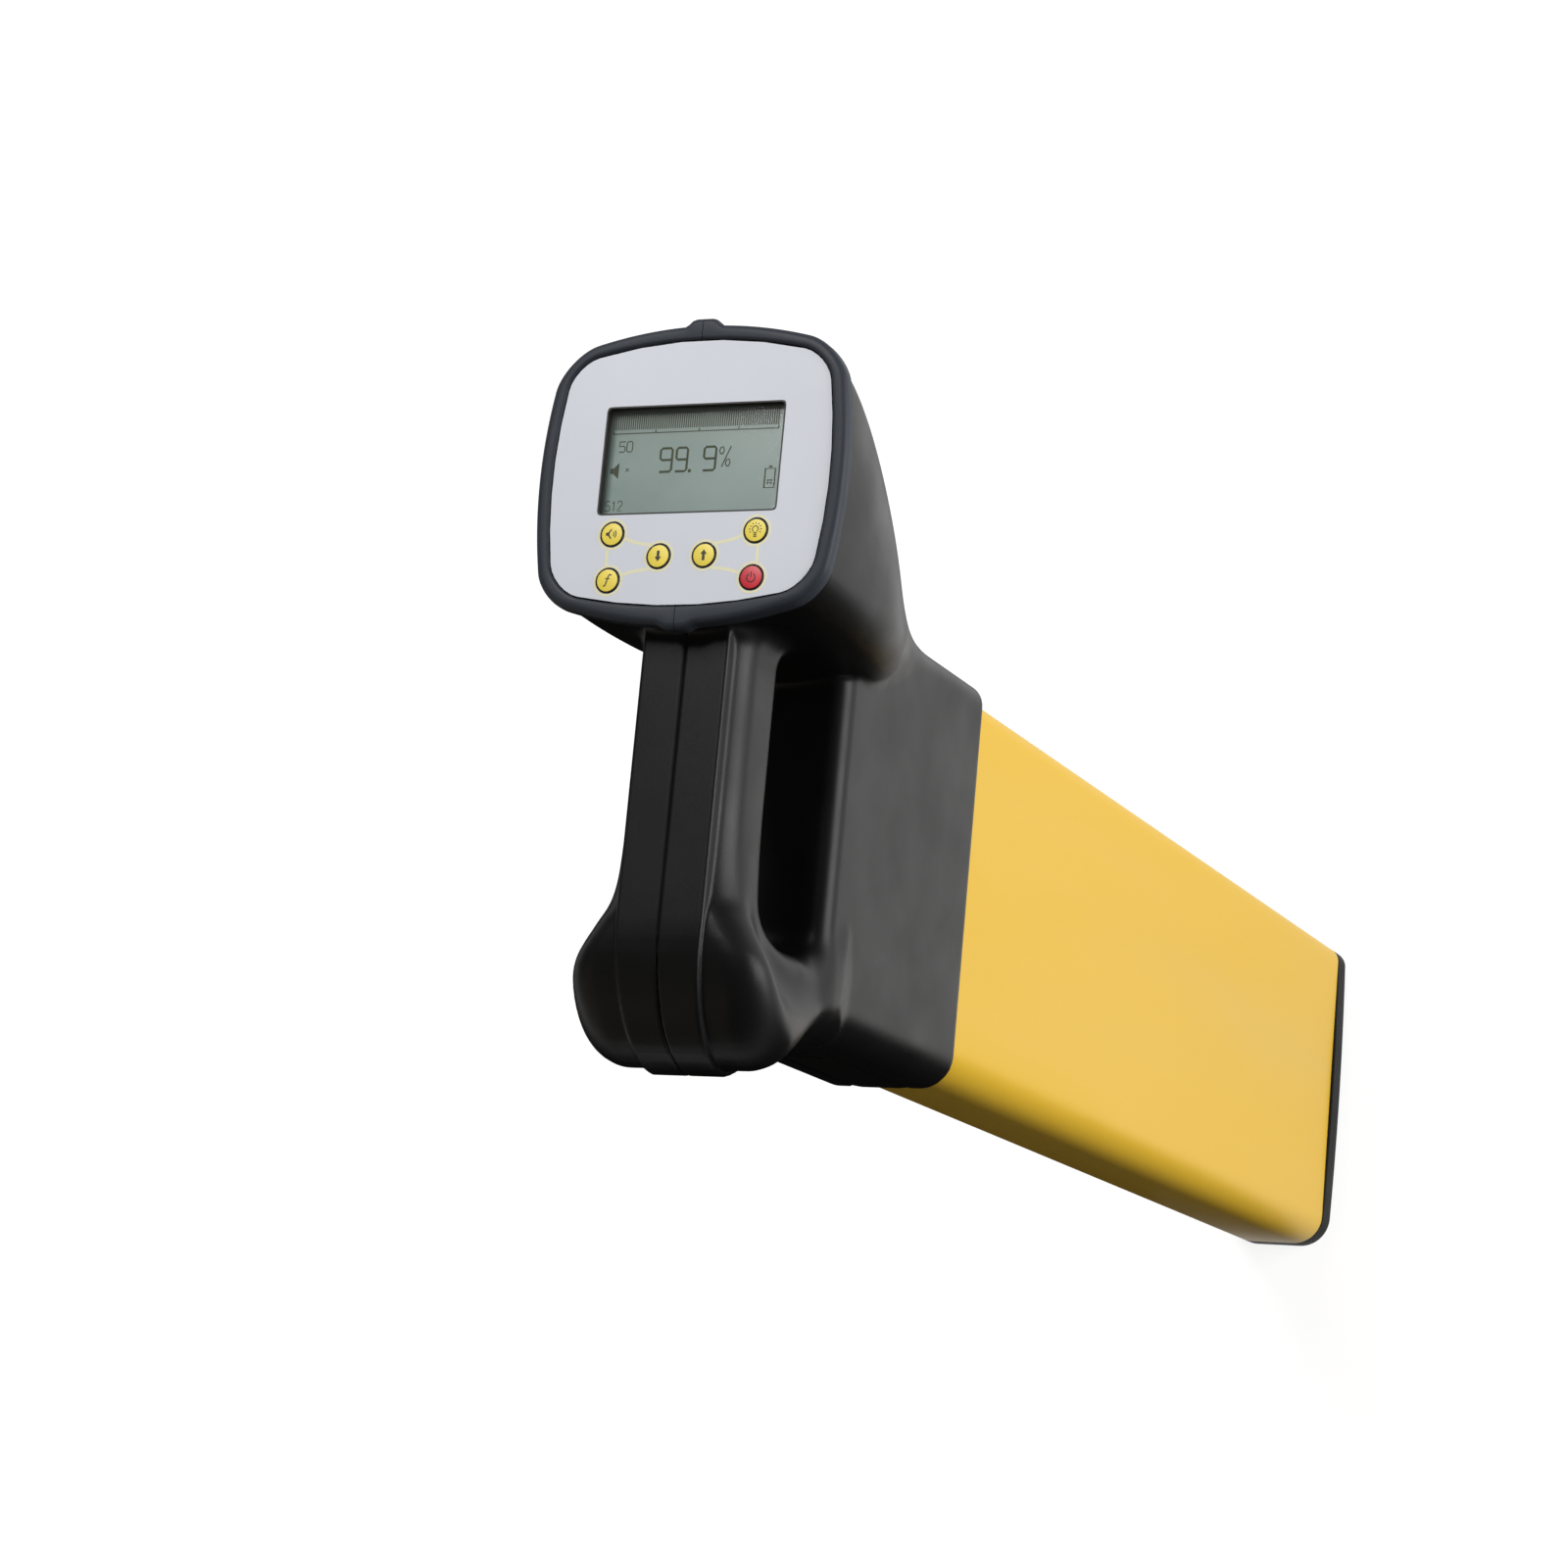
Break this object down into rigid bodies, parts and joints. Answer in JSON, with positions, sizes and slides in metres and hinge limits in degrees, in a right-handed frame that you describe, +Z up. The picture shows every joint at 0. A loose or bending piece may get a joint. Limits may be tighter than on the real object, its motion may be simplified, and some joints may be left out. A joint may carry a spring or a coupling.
{
  "type": "cable locator",
  "caption": "Hand-held cable locator: a display head and hand grip moulded in two housing halves, over a long flat aerial tube that ends in a cap",
  "frame": {"origin": "centre of the end cap's flat bottom face", "axes": "+Z up the tube towards the display, +Y towards the display head, +X to the user's right"},
  "size_m": [0.1028, 0.2281, 0.6686],
  "materials": {
    "housing_black": "satin moulded plastic",
    "panel_grey": "satin printed film on moulded plastic",
    "window_clear": "clear polished acrylic",
    "lcd_green": "grey-green liquid crystal glass",
    "dark_plastic": "dull moulded plastic",
    "board_green": "solder-masked circuit board",
    "key_yellow": "smooth moulded plastic",
    "key_red": "smooth moulded plastic",
    "tube_yellow": "satin extruded plastic",
    "cap_black": "dull moulded plastic",
    "seal_rubber": "soft black rubber",
    "foam_grey": "closed-cell packing foam",
    "carrier_tan": "phenolic sheet",
    "ferrite_grey": "dull sintered ferrite",
    "coil_copper": "enamelled copper wire",
    "standoff_brass": "turned brass",
    "screw_steel": "zinc-plated steel",
    "lead_black": "flexible lead sheath",
    "lead_red": "flexible lead sheath",
    "cell_jacket": "printed jacket"
  },
  "bodies": {
    "housing": {"housing_left": "housing_black", "housing_right": "housing_black", "panel_overlay": "panel_grey", "lcd_window": "window_clear", "lcd_glass": "lcd_green", "front_panel": "dark_plastic", "lcd_frame": "dark_plastic", "key_switches": "dark_plastic", "buzzer": "dark_plastic", "battery_tray": "dark_plastic", "main_board": "board_green", "preamp_board": "board_green", "aerial_tube": "tube_yellow", "end_cap": "cap_black", "panel_gasket": "seal_rubber", "tube_seal": "seal_rubber", "end_cap_seal": "seal_rubber", "carrier_foam": "foam_grey", "aerial_carrier": "carrier_tan", "lower_ferrite": "ferrite_grey", "upper_ferrite": "ferrite_grey", "null_ferrite": "ferrite_grey", "lower_coil": "coil_copper", "upper_coil": "coil_copper", "null_coil": "coil_copper", "board_standoffs": "standoff_brass", "board_screws": "screw_steel", "housing_screws": "screw_steel", "battery_contacts": "screw_steel", "aerial_lead": "lead_black", "battery_lead": "lead_red", "battery_cells": "cell_jacket"},
    "sound_key": {"sound_key": "key_yellow"},
    "light_key": {"light_key": "key_yellow"},
    "down_key": {"down_key": "key_yellow"},
    "up_key": {"up_key": "key_yellow"},
    "function_key": {"function_key": "key_yellow"},
    "power_key": {"power_key": "key_red"},
    "battery_door": {"battery_door": "housing_black"}
  },
  "joints": [
    {"name": "sound_key_press", "type": "slide", "parent": "housing", "child": "sound_key", "axis": [0, 0, -1], "range_m": [0, 0.0005], "stiffness_N_per_m": 300},
    {"name": "light_key_press", "type": "slide", "parent": "housing", "child": "light_key", "axis": [0, 0, -1], "range_m": [0, 0.0005], "stiffness_N_per_m": 300},
    {"name": "down_key_press", "type": "slide", "parent": "housing", "child": "down_key", "axis": [0, 0, -1], "range_m": [0, 0.0005], "stiffness_N_per_m": 300},
    {"name": "up_key_press", "type": "slide", "parent": "housing", "child": "up_key", "axis": [0, 0, -1], "range_m": [0, 0.0005], "stiffness_N_per_m": 300},
    {"name": "function_key_press", "type": "slide", "parent": "housing", "child": "function_key", "axis": [0, 0, -1], "range_m": [0, 0.0005], "stiffness_N_per_m": 300},
    {"name": "power_key_press", "type": "slide", "parent": "housing", "child": "power_key", "axis": [0, 0, -1], "range_m": [0, 0.0005], "stiffness_N_per_m": 300},
    {"name": "battery_door_slide", "type": "slide", "parent": "housing", "child": "battery_door", "axis": [0, 0, -1], "range_m": [0, 0.08]}
  ]
}
